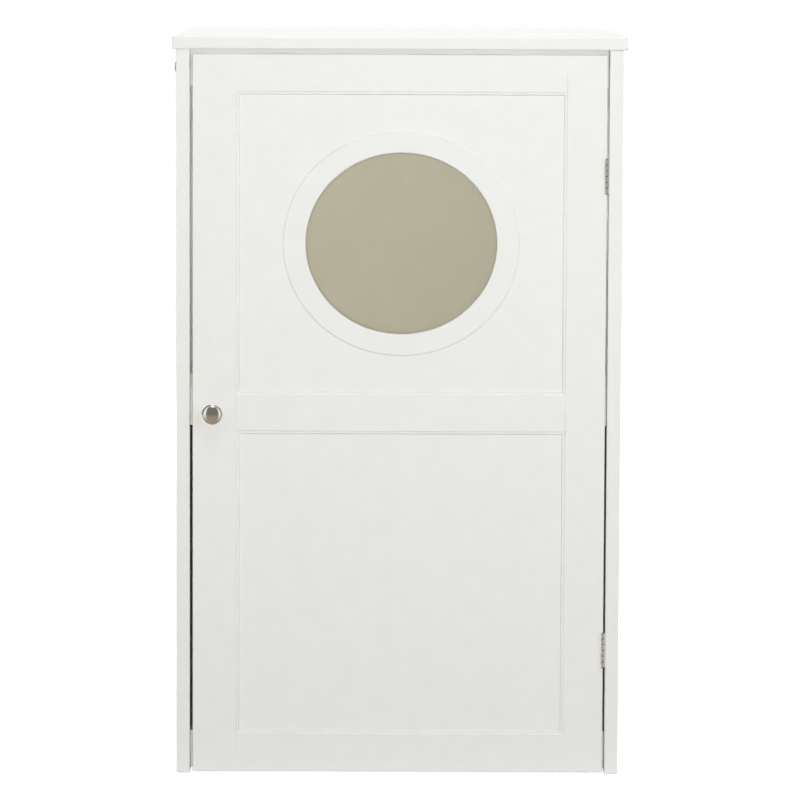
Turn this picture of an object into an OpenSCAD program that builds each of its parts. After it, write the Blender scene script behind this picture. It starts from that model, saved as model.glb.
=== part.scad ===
// Two-storey cat house: a floor-standing cabinet with one hinged door.
// +Z is up and the door faces -Y. The origin is on the floor, under the middle
// of the whole object. All sizes are in millimetres.

/* [Case] */
// Width of the top board
top_w = 530; // [450:1:650]
// Depth of the top board
top_d = 580; // [500:1:680]
// Height of the whole house
total_h = 867; // [820:1:950]
// Thickness of the top board
top_t = 14; // [12.5:0.5:22]
// How far the top board stands out past the sides, in front and behind
top_over = 4.5; // [2:0.5:15]
// Thickness of the side panels
side_t = 16; // [15:0.5:20]
// Height of the four case rails
rail_h = 44; // [40:1:60]
// Thickness of the case rails
rail_t = 16; // [15:0.5:20]
// Thickness of the base panel and of the shelf
board_t = 16; // [15:0.5:20]
// Underside of the bottom rail above the floor
floor_gap = 4; // [2:1:30]
// Underside of the middle rail above the floor
middle_rail_z = 411; // [360:1:450]
// Thickness of the back panel
back_t = 5; // [3:0.5:8]
// Back face of the back panel in front of the sides' rear edges
back_inset = 8; // [6:0.5:20]
// Depth of the grooves that hold the back panel
groove_depth = 6; // [4:0.5:8]
// Radius of the eased edges of boards and door
edge_r = 1.2; // [0.6:0.1:2]

/* [Passage in the shelf] */
// Diameter of the passage between the two rooms
passage_d = 200; // [160:1:210]
// Wood between the passage and the right side panel
passage_rim = 29.5; // [27:0.5:60]
// Middle of the passage in front of the back panel
passage_back = 175; // [140:1:250]

/* [Door] */
// Thickness of the door frame
door_t = 16; // [15:0.5:20]
// Gap between the door and the left side panel
door_gap_left = 3.2; // [2:0.1:5]
// Gap between the door and the right side panel, where the hinge leaves lie
door_gap_right = 2.3; // [2.1:0.1:3.5]
// Gap between the door and the top board
door_gap_top = 6; // [3:0.5:10]
// Gap between the door and the floor
door_gap_floor = 2; // [1:0.5:8]
// Space between the back of the closed door and the rails
door_stand = 2; // [1.6:0.1:4]
// Width of the left stile's face
left_stile_w = 51; // [46:0.5:70]
// Width of the right stile's face
right_stile_w = 46.5; // [40:0.5:70]
// Height of the top rail's face
door_top_rail_h = 43; // [36:0.5:60]
// Height of the middle rail's face
door_middle_rail_h = 42; // [38:0.5:60]
// Lower edge of the middle rail's face above the floor
door_middle_rail_z = 406.5; // [380:0.5:450]
// Height of the bottom rail's face
door_bottom_rail_h = 44.5; // [36:0.5:60]
// Width of the stepped edge between a frame face and its panel
step_w = 4.2; // [3:0.1:6]
// Depth of the first step
step_drop = 1.2; // [0.8:0.1:1.8]
// Depth of the panel's face behind the frame's face
panel_drop = 3.2; // [2.4:0.1:4]
// Thickness of the door panels
panel_t = 8; // [6:0.5:9]
// How far the panels reach into their grooves
panel_tongue = 6; // [4:0.5:8]

/* [Entrance] */
// Width of the entrance
entrance_w = 224; // [180:1:240]
// Height of the entrance
entrance_h = 212.5; // [180:0.5:240]
// Width of the trim that surrounds the entrance, at its sides
trim_w = 26.5; // [15:0.5:30]
// Height of the trim on the panel
trim_t = 2.4; // [1.5:0.1:4]
// Radius of the trim's rounded outer edge and of the entrance's edge
trim_r = 1.6; // [0.8:0.1:2.2]

/* [Knob] */
// Diameter of the knob
knob_d = 24.5; // [18:0.5:30]
// How far the knob stands out of the door
knob_out = 24; // [20:0.5:32]
// Diameter of the knob's foot
knob_foot_d = 13; // [10:0.5:16]
// Diameter of the knob's neck
knob_neck_d = 8.5; // [7:0.5:11]
// Middle of the knob from the door's left edge
knob_in = 23.5; // [18:0.5:30]
// Middle of the knob below the middle of the rail
knob_below = 0.8; // [0:0.1:4]
// Diameter of the knob's screw
knob_screw_d = 4; // [3:0.5:5]

/* [Hinges] */
// Height of a hinge
hinge_h = 40; // [36:1:60]
// Diameter of the barrel
barrel_d = 5; // [4.8:0.2:6.4]
// Diameter of the pin
pin_d = 3; // [2.4:0.1:3.4]
// Middle of the barrel in front of the door's face
barrel_out = 2.2; // [1.8:0.1:2.8]
// Middle of the barrel left of the middle of the gap
barrel_left = 1.5; // [0:0.1:1.6]
// Thickness of a leaf
leaf_t = 0.8; // [0.6:0.05:0.9]
// Depth of a leaf behind the door's face
leaf_w = 12; // [11:0.5:13]
// Knuckles of a hinge
knuckles = 6; // [4:1:7]
// Middle of the lower hinge above the door's lower edge
hinge_low = 146; // [90:1:200]
// Middle of the upper hinge below the door's upper edge
hinge_high = 141; // [90:1:200]
// Diameter of the hinge screws
leaf_screw_d = 2.6; // [2:0.1:3]
// Length of the hinge screws
leaf_screw_l = 12.5; // [10:0.5:13.5]
// Hinge screws from the upper and lower edges of a leaf
leaf_screw_edge = 8; // [5:0.5:10]
// Hinge screws from the rear edge of a leaf
leaf_screw_back = 5.3; // [4:0.1:5.5]

/* [Bolts and dowels] */
// Diameter of the furniture bolts
bolt_d = 6; // [5:0.5:6]
// Length of the furniture bolts under their heads
bolt_l = 46; // [44:1:55]
// Diameter of the bolt heads
bolt_head_d = 11.5; // [10:0.5:13]
// Thickness of the bolt heads
bolt_head_t = 2.4; // [2:0.1:3]
// How far the head of the upper front bolt of the left side stands out
bolt_proud = 2; // [0.5:0.1:2.2]
// Diameter of the barrel nuts
nut_d = 10; // [8:0.5:11]
// Length of the barrel nuts
nut_l = 13; // [11.5:0.5:14]
// Middle of a barrel nut from the end of its board
nut_in = 26; // [24:1:32]
// Diameter of the case dowels
dowel_d = 8; // [6:0.5:9]
// Length of the case dowels
dowel_l = 30; // [24:1:36]
// Front bolts of a board from the side panel's front edge
bolt_front = 180; // [150:1:190]
// Rear bolts of a board from the side panel's rear edge
bolt_rear = 71; // [60:1:80]
// Front dowels of a board from the side panel's front edge
dowel_front = 110; // [80:1:130]
// Rear dowels of a board from the side panel's rear edge
dowel_rear = 141; // [110:1:150]
// Dowels between a side panel and the top board from the panel's edges
top_dowel_edge = 143; // [60:1:160]
// Dowels between the middle rail and the shelf from the side panels
shelf_dowel_side = 110; // [60:1:130]
// How deep a dowel sits in a side panel or in the top board
dowel_in = 10; // [7:0.5:10]
// Diameter of the door frame's dowels
door_dowel_d = 6; // [5:0.5:7]
// Length of the door frame's dowels
door_dowel_l = 36; // [30:1:44]
// Screws in the top rails from the side panels
top_screw_side = 98; // [60:1:130]
// Diameter of the screws in the top rails
top_screw_d = 4; // [3.5:0.5:5]
// How far the screws in the top rails reach into the top board
top_screw_in = 10; // [7:0.5:11]

/* [Magnetic catch] */
// Width of the catch
catch_w = 46; // [42:1:50]
// Depth of the catch
catch_d = 15; // [15:0.5:20]
// Height of the catch
catch_h = 13; // [12:0.5:16]
// Middle of the catch from the door's left edge
catch_in = 32; // [30:0.5:36]
// Width of the magnet
magnet_w = 24; // [18:1:25]
// Thickness of the magnet
magnet_t = 4; // [3:0.5:5]
// Thickness of the pole plates and of the strike plate
pole_t = 1.2; // [0.8:0.1:1.3]
// Gap between the pole plates and the strike plate
pole_gap = 0.3; // [0.2:0.05:0.35]

/* [Clearances] */
// Around a dowel, bolt, nut or screw in its hole
fit = 0.1; // [0.05:0.01:0.2]
// Around a panel in its groove
panel_play = 0.2; // [0.1:0.05:0.4]
// Between two knuckles of a hinge
knuckle_gap = 0.8; // [0.2:0.1:1]
// Around a pin in its knuckles
pin_play = 0.05; // [0.02:0.01:0.1]
// Around a barrel in the wood
barrel_play = 0.4; // [0.3:0.05:0.8]

/* [Hidden] */
$fn = 48;

paint = [0.93, 0.93, 0.91];
cream = [0.91, 0.885, 0.80];
beech = [0.80, 0.65, 0.45];
nickel = [0.66, 0.64, 0.60];
zinc = [0.75, 0.76, 0.78];
white_plastic = [0.92, 0.92, 0.90];
ferrite = [0.18, 0.18, 0.19];

// Extra length of a cut past the face that it leaves
past = 1;

// Case
front_y = (knob_out - top_d + top_over) / 2;
side_d = top_d - 2 * top_over;
side_h = total_h - top_t;
rear_edge_y = front_y + side_d;
out_x = top_w / 2 - top_over;
in_x = out_x - side_t;
rail_y = front_y + door_t + door_stand;
rail_mid_y = rail_y + rail_t / 2;
back_y = rear_edge_y - back_inset - back_t;
rear_rail_y = back_y - panel_play - rail_t;
rear_rail_mid_y = rear_rail_y + rail_t / 2;
top_rail_z = side_h - rail_h;
base_z = floor_gap + rail_h - board_t;
shelf_z = middle_rail_z + rail_h;
board_d = back_y - panel_play;
passage_x = in_x - passage_rim - passage_d / 2;
passage_y = back_y - passage_back;

// Bolts, two to a board and one to a rail, as depth and height
rail_bolts = [
    [rail_mid_y, top_rail_z + rail_h / 2],
    [rail_mid_y, middle_rail_z + rail_h / 2],
    [rail_mid_y, floor_gap + rail_h / 2],
    [rear_rail_mid_y, top_rail_z + rail_h / 2]
];
proud_bolt = rail_bolts[0];
// Across the corners of the six-sided socket in a bolt's head
bolt_socket_d = 4.6;
board_bolts = [
    for (z = [base_z, shelf_z], y = [front_y + bolt_front, rear_edge_y - bolt_rear])
        [y, z + board_t / 2]
];
// The rails' dowels lie above their bolts, with this much wood between a dowel and a nut
rail_dowel_gap = 4;
rail_dowel_rise = (nut_d + dowel_d) / 2 + rail_dowel_gap;
rail_dowels = [for (b = rail_bolts) [b[0], b[1] + rail_dowel_rise]];
board_dowels = [
    for (z = [base_z, shelf_z], y = [front_y + dowel_front, rear_edge_y - dowel_rear])
        [y, z + board_t / 2]
];
// Upright dowels between the sides and the top board, as depths
top_dowels = [front_y + top_dowel_edge, rear_edge_y - top_dowel_edge];
shelf_dowel_x = in_x - shelf_dowel_side;
top_screw_x = in_x - top_screw_side;
// How far the heads of the top rails' screws are sunk, and the play round them
screw_sink = 10;
screw_head_play = 1;

// Door
door_x0 = -in_x + door_gap_left;
door_x1 = in_x - door_gap_right;
door_z0 = door_gap_floor;
door_z1 = side_h - door_gap_top;
open_x0 = door_x0 + left_stile_w;
open_x1 = door_x1 - right_stile_w;
low_z0 = door_z0 + door_bottom_rail_h;
low_z1 = door_middle_rail_z;
up_z0 = door_middle_rail_z + door_middle_rail_h;
up_z1 = door_z1 - door_top_rail_h;
panel_y0 = front_y + panel_drop;
panel_y1 = panel_y0 + panel_t;
entrance_x = (open_x0 + open_x1) / 2;
entrance_z = (up_z0 + up_z1) / 2;
entrance_ratio = entrance_h / entrance_w;
door_dowel_y = front_y + door_t / 2;
// Wood between the two dowels of a joint in the door frame
door_dowel_gap = 9;
door_dowel_apart = door_dowel_d + door_dowel_gap;

// Knob
knob_x = door_x0 + knob_in;
knob_z = door_middle_rail_z + door_middle_rail_h / 2 - knob_below;
// How deep the screw reaches into the knob, and its head in the back of the stile
knob_screw_reach = 9;
knob_screw_head_t = 2.4;
knob_screw_head_d = 2 * knob_screw_d;
knob_screw_seat = front_y + door_t - knob_screw_head_t - fit;

// Hinges
axis_x = in_x - door_gap_right / 2 - barrel_left;
axis_y = front_y - barrel_out;
hinge_zs = [door_z0 + hinge_low, door_z1 - hinge_high];
knuckle_h = (hinge_h - (knuckles - 1) * knuckle_gap) / knuckles;
leaf_screw_apart = hinge_h - 2 * leaf_screw_edge;
leaf_screw_y = barrel_out + leaf_w - leaf_screw_back;
pin_head_h = 0.8;

// Catch
catch_x = door_x0 + catch_in;
catch_z = middle_rail_z - catch_h / 2;
catch_screw_d = 2.8;
// How far the catch's screws reach into the rail
catch_screw_l = 13;
catch_screw_edge = 4.5;
catch_screw_apart = catch_w - 2 * catch_screw_edge;
strike_y = front_y + door_t;
pole_y = strike_y + pole_t + pole_gap;
// Wall of the housing behind the pole plates
pole_wall = 3;
pole_d = catch_d - pole_wall;
// How far the pole plates stand out in front of the magnet
pole_lip = 1;
// How far the strike plate reaches past the pole plates, sideways and in height
strike_over = [4, 2.5];
strike_w = magnet_w + 2 * strike_over[0];
strike_h = magnet_t + 2 * pole_t + 2 * strike_over[1];
strike_screw_l = door_t * 0.7;

// A rectangle with round corners, its middle at the origin
module round_rect(w, h, r) {
    square([w - 2 * r, h], center = true);
    square([w, h - 2 * r], center = true);
    for (x = [-1, 1], y = [-1, 1])
        translate([x * (w / 2 - r), y * (h / 2 - r)]) circle(r = r, $fn = 24);
}

// A box from corner lo to corner hi
module box(lo, hi) {
    translate(lo) cube(hi - lo);
}

// A box whose edges along all three axes are eased
module eased_box(lo, hi, r = edge_r) {
    size = hi - lo;
    translate((lo + hi) / 2) intersection() {
        linear_extrude(size[2], center = true) round_rect(size[0], size[1], r);
        rotate([90, 0, 90]) linear_extrude(size[0], center = true) round_rect(size[1], size[2], r);
        rotate([90, 0, 0]) linear_extrude(size[1], center = true) round_rect(size[0], size[2], r);
    }
}

// A rod along +X from the origin
module rod_x(length, d) {
    rotate([0, 90, 0]) cylinder(h = length, d = d);
}

// A dowel along +Z from the origin, with chamfered ends
module dowel(length, d) {
    chamfer = 0.8;
    cylinder(h = chamfer, d1 = d - 2 * chamfer, d2 = d);
    translate([0, 0, chamfer]) cylinder(h = length - 2 * chamfer, d = d);
    translate([0, 0, length - chamfer]) cylinder(h = chamfer, d1 = d, d2 = d - 2 * chamfer);
}

// The outline of a countersunk screw along -Z, its head's top at the origin, grown by extra
module screw_shape(length, d, extra = 0) {
    head_d = 2 * d;
    head_h = d / 2;
    tip = d * 0.9;
    translate([0, 0, -head_h]) cylinder(h = head_h, d1 = d + 2 * extra, d2 = head_d + 2 * extra);
    translate([0, 0, tip - length]) cylinder(h = length - tip - head_h, d = d + 2 * extra);
    translate([0, 0, -length - extra]) cylinder(h = tip + extra, d1 = d * 0.3, d2 = d + 2 * extra);
}

// A countersunk screw with a cross recess
module wood_screw(length, d) {
    slot = d * 0.22;
    difference() {
        screw_shape(length, d);
        for (a = [0, 90])
            rotate([0, 0, a]) cube([d * 1.2, slot, d * 0.7], center = true);
    }
}

// Places a child that points along -Z so that it points along +X, -X, +Y, -Y or +Z
module aim(direction) {
    turn = direction == "+x" ? [0, -90, 0] :
           direction == "-x" ? [0, 90, 0] :
           direction == "+y" ? [90, 0, 0] :
           direction == "-y" ? [-90, 0, 0] : [180, 0, 0];
    rotate(turn) children();
}

// A furniture bolt along +X, its head's outer face at the origin
module bolt() {
    difference() {
        union() {
            rod_x(bolt_head_t, bolt_head_d);
            rod_x(bolt_head_t + bolt_l, bolt_d);
        }
        translate([-past, 0, 0]) rotate([0, 90, 0])
            cylinder(h = past + bolt_head_t, d = bolt_socket_d, $fn = 6);
    }
}

// Holes for the bolts and dowels of the left side panel, at its inner and outer faces
module side_holes() {
    for (b = concat(rail_bolts, board_bolts)) {
        translate([-out_x - past, b[0], b[1]]) rod_x(bolt_head_t + fit + past, bolt_head_d + 2 * fit);
        translate([-out_x - past, b[0], b[1]]) rod_x(side_t + 2 * past, bolt_d + 2 * fit);
    }
    for (b = concat(rail_dowels, board_dowels))
        translate([-in_x - dowel_in - fit, b[0], b[1]]) rod_x(dowel_in + fit + past, dowel_d + 2 * fit);
    for (y = top_dowels)
        translate([-in_x - side_t / 2, y, side_h - (dowel_l - dowel_in) - fit])
            cylinder(h = dowel_l, d = dowel_d + 2 * fit);
}

// Bolt, nut and dowel holes at both ends of a rail or board; the nuts go in along nut_dir
module end_holes(bolts, dowels, nut_dir) {
    for (m = [0, 1]) mirror([m, 0, 0]) {
        for (b = bolts) translate([-in_x, b[0], b[1]]) {
            translate([-past, 0, 0]) rod_x(bolt_l + bolt_head_t - side_t + 2 * past, bolt_d + 2 * fit);
            translate([nut_in, 0, 0]) nut_place(nut_dir)
                cylinder(h = nut_l + fit + past, d = nut_d + 2 * fit);
        }
        for (b = dowels)
            translate([-in_x - past, b[0], b[1]])
                rod_x(dowel_l - dowel_in + fit + past, dowel_d + 2 * fit);
    }
}

// Puts a nut's or its hole's open end on the back face of a rail or the underside of a board
module nut_place(nut_dir) {
    if (nut_dir == "rail") translate([0, rail_t / 2 + past, 0]) rotate([90, 0, 0]) children();
    else translate([0, 0, -board_t / 2 - past]) children();
}

module left_panel() {
    groove_top = side_h + past;
    difference() {
        eased_box([-out_x, front_y, 0], [-in_x, rear_edge_y, side_h]);
        side_holes();
        // Groove of the back panel, open at the top
        box([-in_x - groove_depth, back_y - panel_play, base_z - panel_play],
            [-in_x + past, back_y + back_t + panel_play, groove_top]);
    }
}

module left_side() {
    color(paint) left_panel();
}

module right_side() {
    color(paint) difference() {
        mirror([1, 0, 0]) left_panel();
        for (z = hinge_zs) translate([axis_x, axis_y, z]) {
            barrel_room();
            leaf_screws(1, fit);
        }
    }
}

module top_board() {
    color(paint) difference() {
        eased_box([-top_w / 2, front_y - top_over, side_h], [top_w / 2, rear_edge_y + top_over, total_h]);
        for (x = [-1, 1], y = top_dowels)
            translate([x * (in_x + side_t / 2), y, side_h - past])
                cylinder(h = dowel_in + fit + past, d = dowel_d + 2 * fit);
        for (x = [-1, 1], y = [rail_mid_y, rear_rail_mid_y])
            translate([x * top_screw_x, y, side_h - past])
                cylinder(h = top_screw_in + fit + past, d = top_screw_d + 2 * fit);
    }
}

module base_panel() {
    color(cream) difference() {
        box([-in_x, rail_y + rail_t, base_z], [in_x, board_d, base_z + board_t]);
        end_holes([for (b = board_bolts) if (b[1] < shelf_z) b],
            [for (b = board_dowels) if (b[1] < shelf_z) b], "board");
    }
}

module shelf() {
    color(cream) difference() {
        box([-in_x, rail_y, shelf_z], [in_x, board_d, shelf_z + board_t]);
        translate([passage_x, passage_y, shelf_z - past])
            cylinder(h = board_t + 2 * past, d = passage_d, $fn = 96);
        end_holes([for (b = board_bolts) if (b[1] > shelf_z) b],
            [for (b = board_dowels) if (b[1] > shelf_z) b], "board");
        for (x = [-1, 1])
            translate([x * shelf_dowel_x, rail_mid_y, shelf_z - past])
                cylinder(h = dowel_in + fit + past, d = dowel_d + 2 * fit);
    }
}

module back_panel() {
    half = in_x + groove_depth - panel_play;
    color(cream) box([-half, back_y, base_z], [half, back_y + back_t, side_h - panel_play]);
}

// A case rail between the sides, its lower edge at z
module case_rail(y, z) {
    difference() {
        box([-in_x, y, z], [in_x, y + rail_t, z + rail_h]);
        end_holes([[y + rail_t / 2, z + rail_h / 2]],
            [[y + rail_t / 2, z + rail_h / 2 + rail_dowel_rise]], "rail");
    }
}

// A top rail has two sunk screws that pull the top board down
module top_case_rail(y) {
    difference() {
        case_rail(y, top_rail_z);
        for (x = [-1, 1]) translate([x * top_screw_x, y + rail_t / 2, top_rail_z]) {
            translate([0, 0, -past]) cylinder(h = screw_sink + past, d = 2 * (top_screw_d + screw_head_play));
            cylinder(h = rail_h + past, d = top_screw_d + 2 * fit);
            translate([0, 0, screw_sink]) aim("+z") screw_shape(rail_h, top_screw_d, fit);
        }
    }
}

module top_front_rail() {
    color(paint) top_case_rail(rail_y);
}

module top_rear_rail() {
    color(paint) top_case_rail(rear_rail_y);
}

module middle_front_rail() {
    color(paint) difference() {
        case_rail(rail_y, middle_rail_z);
        for (x = [-1, 1])
            translate([x * shelf_dowel_x, rail_mid_y, shelf_z - (dowel_l - dowel_in) - fit])
                cylinder(h = dowel_l, d = dowel_d + 2 * fit);
        for (x = [-1, 1])
            translate([catch_x + x * catch_screw_apart / 2, rail_y + catch_d / 2, middle_rail_z - catch_h])
                aim("+z") screw_shape(catch_h + catch_screw_l, catch_screw_d, fit);
    }
}

module bottom_front_rail() {
    color(paint) case_rail(rail_y, floor_gap);
}

module case_bolts() {
    color(zinc) for (m = [0, 1]) mirror([m, 0, 0])
        for (b = concat(rail_bolts, board_bolts)) {
            out = m == 0 && b == proud_bolt ? bolt_proud : 0;
            translate([-out_x - out, b[0], b[1]]) bolt();
        }
}

module barrel_nuts() {
    hole_d = bolt_d + 2 * fit;
    color(zinc) for (m = [0, 1]) mirror([m, 0, 0]) {
        for (b = rail_bolts) translate([-in_x + nut_in, b[0], b[1]]) difference() {
            translate([0, rail_t / 2, 0]) rotate([90, 0, 0]) slotted_nut();
            translate([-nut_d, 0, 0]) rod_x(2 * nut_d, hole_d);
        }
        for (b = board_bolts) translate([-in_x + nut_in, b[0], b[1]]) difference() {
            translate([0, 0, -board_t / 2]) slotted_nut();
            translate([-nut_d, 0, 0]) rod_x(2 * nut_d, hole_d);
        }
    }
}

// A barrel nut along +Z, with a screwdriver slot in the end at the origin
module slotted_nut() {
    slot_w = 1.2;
    slot_depth = 1.2;
    difference() {
        cylinder(h = nut_l, d = nut_d);
        translate([-nut_d, -slot_w / 2, -past]) cube([2 * nut_d, slot_w, past + slot_depth]);
    }
}

module case_dowels() {
    color(beech) {
        for (m = [0, 1]) mirror([m, 0, 0]) {
            for (b = concat(rail_dowels, board_dowels))
                translate([-in_x - dowel_in, b[0], b[1]]) rotate([0, 90, 0]) dowel(dowel_l, dowel_d);
            for (y = top_dowels)
                translate([-in_x - side_t / 2, y, side_h + dowel_in - dowel_l]) dowel(dowel_l, dowel_d);
        }
        for (x = [-1, 1])
            translate([x * shelf_dowel_x, rail_mid_y, shelf_z + dowel_in - dowel_l]) dowel(dowel_l, dowel_d);
    }
}

module top_screws() {
    length = rail_h - screw_sink + top_screw_in;
    color(zinc) for (x = [-1, 1], y = [rail_mid_y, rear_rail_mid_y])
        translate([x * top_screw_x, y, top_rail_z + screw_sink]) aim("+z") wood_screw(length, top_screw_d);
}

module catch_housing() {
    pocket_half_w = magnet_w / 2 + fit;
    pocket_half_h = magnet_t / 2 + pole_t + fit;
    color(white_plastic) difference() {
        eased_box([catch_x - catch_w / 2, rail_y, middle_rail_z - catch_h],
            [catch_x + catch_w / 2, rail_y + catch_d, middle_rail_z], 0.8);
        // Pocket of the magnet and its plates
        box([catch_x - pocket_half_w, rail_y - past, catch_z - pocket_half_h],
            [catch_x + pocket_half_w, pole_y + pole_d + fit, catch_z + pocket_half_h]);
        for (x = [-1, 1])
            translate([catch_x + x * catch_screw_apart / 2, rail_y + catch_d / 2, middle_rail_z - catch_h])
                aim("+z") screw_shape(catch_h + catch_screw_l, catch_screw_d, fit);
    }
}

module catch_magnet() {
    color(ferrite) box([catch_x - magnet_w / 2, pole_y + pole_lip, catch_z - magnet_t / 2],
        [catch_x + magnet_w / 2, pole_y + pole_d, catch_z + magnet_t / 2]);
}

module catch_poles() {
    color(zinc) for (m = [-1, 1]) {
        z = catch_z + m * (magnet_t + pole_t) / 2;
        box([catch_x - magnet_w / 2, pole_y, z - pole_t / 2],
            [catch_x + magnet_w / 2, pole_y + pole_d, z + pole_t / 2]);
    }
}

module catch_screws() {
    color(zinc) for (x = [-1, 1])
        translate([catch_x + x * catch_screw_apart / 2, rail_y + catch_d / 2, middle_rail_z - catch_h])
            aim("+z") wood_screw(catch_h + catch_screw_l, catch_screw_d);
}

// Height of the lower end of knuckle i, from the hinge's middle
function knuckle_z(i) = -hinge_h / 2 + i * (knuckle_h + knuckle_gap);

// Room for a barrel in the wood, round the hinge's axis
module barrel_room() {
    height = hinge_h + 2 * (fit + pin_head_h + barrel_play);
    translate([0, 0, -height / 2]) cylinder(h = height, d = barrel_d + 2 * barrel_play);
}

// A hinge leaf round its axis: side 1 is the case's leaf and side -1 the door's
module leaf(side) {
    own = side > 0 ? 0 : 1;
    face = barrel_left + side * door_gap_right / 2;
    difference() {
        union() {
            box([min(face, face - side * leaf_t), 0, -hinge_h / 2],
                [max(face, face - side * leaf_t), barrel_out + leaf_w, hinge_h / 2]);
            for (i = [own:2:knuckles - 1]) translate([0, 0, knuckle_z(i)])
                cylinder(h = knuckle_h, d = barrel_d);
        }
        for (i = [1 - own:2:knuckles - 1]) translate([0, 0, knuckle_z(i) - knuckle_gap])
            cylinder(h = knuckle_h + 2 * knuckle_gap, d = barrel_d + 2 * knuckle_gap);
        translate([0, 0, -hinge_h / 2 - past]) cylinder(h = hinge_h + 2 * past, d = pin_d + 2 * pin_play);
        leaf_screws(side, fit);
    }
}

// The two screws of a leaf, or with extra the holes for them
module leaf_screws(side, extra = 0) {
    head_x = barrel_left + side * (door_gap_right / 2 - leaf_t);
    for (z = [-1, 1]) translate([head_x, leaf_screw_y, z * leaf_screw_apart / 2])
        aim(side > 0 ? "+x" : "-x")
            if (extra > 0) screw_shape(leaf_screw_l, leaf_screw_d, extra);
            else wood_screw(leaf_screw_l, leaf_screw_d);
}

module hinge_pin() {
    cylinder(h = hinge_h + 2 * fit, d = pin_d, center = true);
    for (m = [0, 1]) mirror([0, 0, m])
        translate([0, 0, hinge_h / 2 + fit])
            cylinder(h = pin_head_h, d1 = barrel_d * 0.85, d2 = barrel_d * 0.6);
}

module at_hinge(i) {
    translate([axis_x, axis_y, hinge_zs[i]]) children();
}

module upper_hinge_case_leaf() {
    color(nickel) at_hinge(1) leaf(1);
}

module upper_hinge_door_leaf() {
    color(nickel) at_hinge(1) leaf(-1);
}

module upper_hinge_pin() {
    color(nickel) at_hinge(1) hinge_pin();
}

module lower_hinge_case_leaf() {
    color(nickel) at_hinge(0) leaf(1);
}

module lower_hinge_door_leaf() {
    color(nickel) at_hinge(0) leaf(-1);
}

module lower_hinge_pin() {
    color(nickel) at_hinge(0) hinge_pin();
}

module hinge_case_screws() {
    color(nickel) for (i = [0, 1]) at_hinge(i) leaf_screws(1);
}

module hinge_door_screws() {
    color(nickel) for (i = [0, 1]) at_hinge(i) leaf_screws(-1);
}

// A cut whose four sides slope inwards, from start inside the opening's edge at depth y0 to end at depth y1
module sloped_cut(z0, z1, start, end, y0, y1) {
    intersection() {
        translate([0, 0, z0]) linear_extrude(z1 - z0) polygon([
            [open_x0 + start, y0], [open_x1 - start, y0], [open_x1 - end, y1], [open_x0 + end, y1]]);
        translate([open_x0, 0, 0]) rotate([90, 0, 90]) linear_extrude(open_x1 - open_x0) polygon([
            [y0, z0 + start], [y0, z1 - start], [y1, z1 - end], [y1, z0 + end]]);
    }
}

// The stepped opening of one panel, through the door frame
module stepped_opening(z0, z1) {
    first = step_w * 0.25;
    ledge = step_w * 0.7;
    // Front of the opening, just ahead of the face
    box([open_x0, front_y - past, z0], [open_x1, front_y, z1]);
    sloped_cut(z0, z1, 0, first, front_y, front_y + step_drop);
    sloped_cut(z0, z1, ledge, step_w, front_y + step_drop, panel_y0);
    box([open_x0 + step_w, panel_y0, z0 + step_w],
        [open_x1 - step_w, front_y + door_t + past, z1 - step_w]);
}

// A door panel in its groove, grown by extra all round
module panel_block(z0, z1, extra = 0) {
    reach = step_w - panel_tongue - extra;
    box([open_x0 + reach, panel_y0, z0 + reach],
        [open_x1 - reach, panel_y1 + extra, z1 - reach]);
}

// The frame's outer shape with eased edges
module door_envelope() {
    eased_box([door_x0, front_y, door_z0], [door_x1, front_y + door_t, door_z1]);
}

// Everything that is cut from the door frame's pieces
module frame_cuts() {
    for (z = [[low_z0, low_z1], [up_z0, up_z1]]) {
        stepped_opening(z[0], z[1]);
        panel_block(z[0], z[1], panel_play);
    }
    for (p = door_dowel_places()) translate([p[0] - door_dowel_l / 2 - fit, door_dowel_y, p[1]])
        rod_x(door_dowel_l + 2 * fit, door_dowel_d + 2 * fit);
}

// Middles of the frame's dowels, two at each end of each rail
function door_dowel_places() = [
    for (x = [open_x0, open_x1],
         z = [(door_z0 + low_z0) / 2, (low_z1 + up_z0) / 2, (up_z1 + door_z1) / 2],
         m = [-1, 1]) [x, z + m * door_dowel_apart / 2]
];

// A stile's face and, beside each panel, its stepped edge
module stile(x0, x1, edge_x0, edge_x1) {
    difference() {
        intersection() {
            door_envelope();
            union() {
                box([x0, front_y, door_z0], [x1, front_y + door_t, door_z1]);
                for (z = [[low_z0, low_z1], [up_z0, up_z1]])
                    box([edge_x0, front_y, z[0] + step_w], [edge_x1, front_y + door_t, z[1] - step_w]);
            }
        }
        frame_cuts();
    }
}

module door_left_stile() {
    color(paint) difference() {
        stile(door_x0, open_x0, open_x0, open_x0 + step_w);
        translate([knob_x, front_y - past, knob_z]) rotate([-90, 0, 0])
            cylinder(h = door_t + 2 * past, d = knob_screw_d + 2 * fit);
        translate([knob_x, knob_screw_seat, knob_z]) rotate([-90, 0, 0])
            cylinder(h = door_t, d = knob_screw_head_d + 2 * fit);
        strike_screw_place() screw_shape(strike_screw_l, catch_screw_d, fit);
    }
}

module door_right_stile() {
    color(paint) difference() {
        stile(open_x1, door_x1, open_x1 - step_w, open_x1);
        for (z = hinge_zs) translate([axis_x, axis_y, z]) {
            barrel_room();
            leaf_screws(-1, fit);
        }
    }
}

// A rail of the door between the stiles, with the stepped edges above and below it
module door_rail(z0, z1) {
    difference() {
        intersection() {
            door_envelope();
            box([open_x0, front_y, z0], [open_x1, front_y + door_t, z1]);
        }
        frame_cuts();
    }
}

module door_top_rail() {
    color(paint) door_rail(up_z1 - step_w, door_z1);
}

module door_middle_rail() {
    color(paint) door_rail(low_z1 - step_w, up_z0 + step_w);
}

module door_bottom_rail() {
    color(paint) door_rail(door_z0, low_z0 + step_w);
}

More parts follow.
